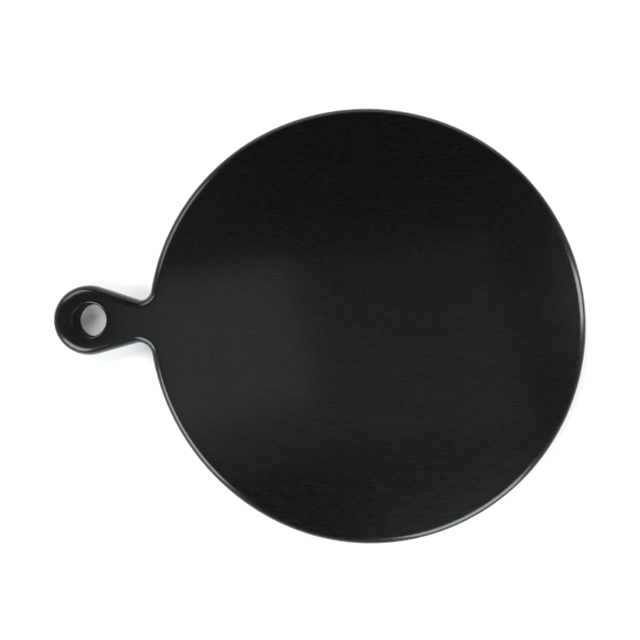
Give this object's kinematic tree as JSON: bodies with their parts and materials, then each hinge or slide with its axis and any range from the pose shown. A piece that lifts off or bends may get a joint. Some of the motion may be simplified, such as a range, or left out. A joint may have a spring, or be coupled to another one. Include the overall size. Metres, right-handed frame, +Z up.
{
  "type": "serving board",
  "caption": "Flat round wooden serving board in black satin lacquer, with rounded edges and a short paddle handle with a hanging hole.",
  "frame": {"origin": "on the resting face, at the middle of the disc", "axes": "+X along the grain, away from the handle; +Y across the staves, from the front to the back; +Z up, out of the serving face"},
  "size_m": [0.623, 0.51, 0.025],
  "materials": {
    "black_wood": "black satin lacquer over open wood grain",
    "dowel_wood": "plain beech, unfinished"
  },
  "bodies": {
    "root": {"front_outer_stave": "black_wood", "front_inner_stave": "black_wood", "handle_stave": "black_wood", "back_inner_stave": "black_wood", "back_outer_stave": "black_wood", "front_outer_dowels": "dowel_wood", "front_inner_dowels": "dowel_wood", "back_inner_dowels": "dowel_wood", "back_outer_dowels": "dowel_wood"}
  },
  "joints": []
}
